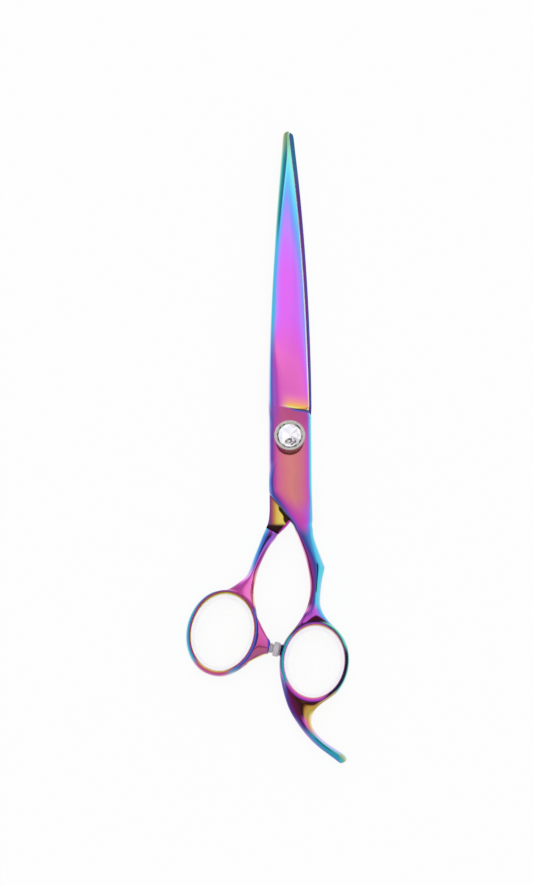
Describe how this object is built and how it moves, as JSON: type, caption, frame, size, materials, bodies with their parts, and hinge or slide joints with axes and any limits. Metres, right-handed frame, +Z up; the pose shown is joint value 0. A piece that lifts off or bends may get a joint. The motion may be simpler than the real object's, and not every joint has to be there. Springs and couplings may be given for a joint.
{
  "type": "hair shears",
  "caption": "Straight-bladed hair shears with a rainbow coating, offset finger and thumb rings with clear inserts, a curved little-finger tang, a bumper and a jewelled tension dial.",
  "frame": {"origin": "on the pivot axis, on the flush back face of the pivot bolt, which is the plane the shears lie on", "axes": "+Z up through the tension dial along the pivot axis, +Y along the closed blades to the tips, +X to the finger-ring side"},
  "size_m": [0.0526, 0.2104, 0.0101],
  "materials": {
    "rainbow_coat": "polished steel with a rainbow coating",
    "dial_silver": "knurled, plated",
    "bezel_silver": "polished, plated",
    "stone_clear": "faceted, foil-backed",
    "bolt_steel": "turned",
    "spring_steel": "bright",
    "bush_bronze": "turned",
    "washer_white": "smooth",
    "bumper_grey": "satin",
    "insert_clear": "clear, smooth"
  },
  "bodies": {
    "finger_side": {"still_half": "rainbow_coat", "pivot_bush": "bush_bronze", "blade_washer": "washer_white", "glide_washer": "washer_white", "finger_insert": "insert_clear"},
    "thumb_side": {"moving_half": "rainbow_coat", "pivot_bolt": "bolt_steel", "spring_washer": "spring_steel", "thumb_insert": "insert_clear", "bumper": "bumper_grey", "bumper_stud": "bolt_steel"},
    "dial": {"tension_dial": "dial_silver", "dial_bezel": "bezel_silver", "stone": "stone_clear"}
  },
  "joints": [
    {"name": "blade_pivot", "type": "hinge", "parent": "finger_side", "child": "thumb_side", "pos_m": [0, 0, 0.00286], "axis": [0, 0, -1], "range_deg": [0, 140]},
    {"name": "dial_turn", "type": "hinge", "parent": "thumb_side", "child": "dial", "pos_m": [0, 0, 0.0075], "axis": [0, 0, 1], "range_deg": [-90, 90]}
  ]
}
